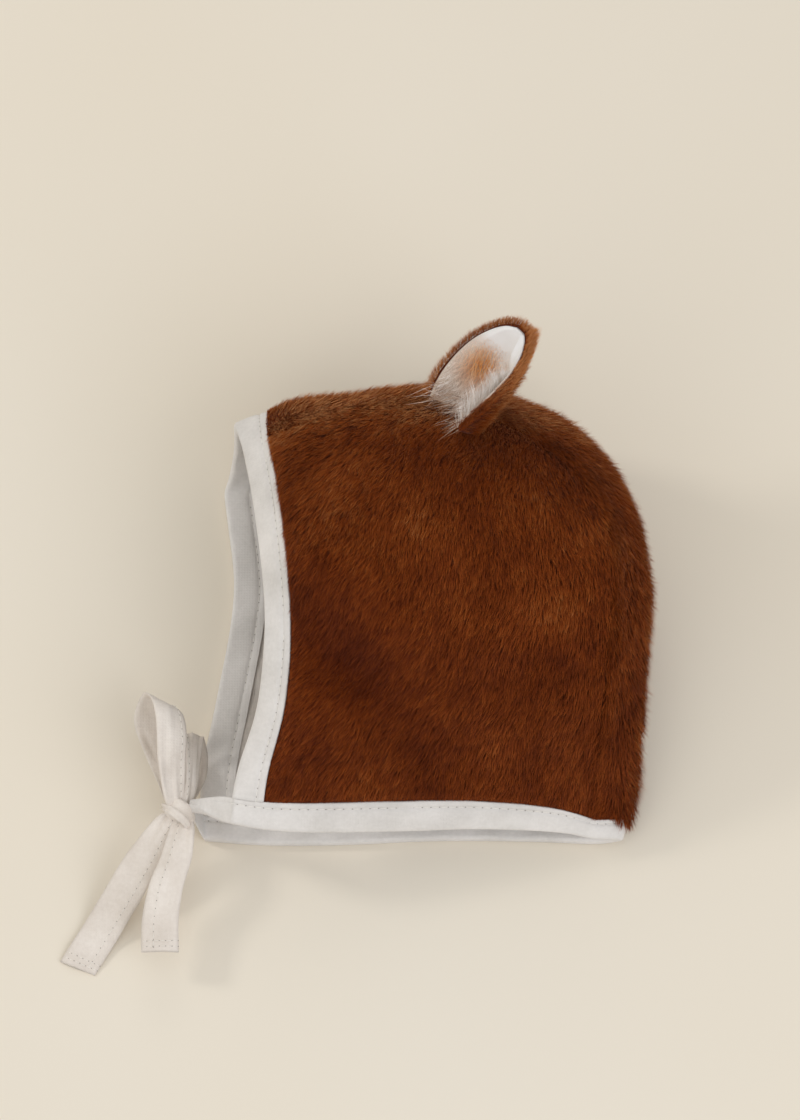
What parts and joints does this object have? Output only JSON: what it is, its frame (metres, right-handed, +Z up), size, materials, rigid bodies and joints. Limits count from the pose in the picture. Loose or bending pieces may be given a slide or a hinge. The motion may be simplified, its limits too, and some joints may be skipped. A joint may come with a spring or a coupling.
{
  "type": "baby bonnet with ears",
  "caption": "Baby's fur bonnet with two cupped ears, cotton bindings and ties in a bow, lying on its side with the face opening clear.",
  "frame": {"origin": "on the floor, under the middle of the whole piece as it lies", "axes": "+X from the face opening to the back of the head, +Y from the neck edge to the crown, +Z up from the floor to the wearer's left side"},
  "size_m": [0.2288, 0.2482, 0.116],
  "materials": {
    "fur": "short laid pile",
    "cotton": "plain weave",
    "lining": "fine plain weave",
    "satin": "satin with soft fur tufts"
  },
  "bodies": {
    "root": {"side_panel_left": "fur", "side_panel_right": "fur", "centre_panel": "fur", "lining": "lining", "face_binding": "cotton", "neck_binding": "cotton", "ear_left_back": "fur", "ear_left_lining": "satin", "ear_right_back": "fur", "ear_right_lining": "satin", "bow_knot": "cotton", "tail_long": "cotton", "tail_short": "cotton", "bow_loop_front": "cotton", "bow_loop_back": "cotton", "tie_lead_left": "cotton", "tie_lead_right": "cotton"}
  },
  "joints": []
}
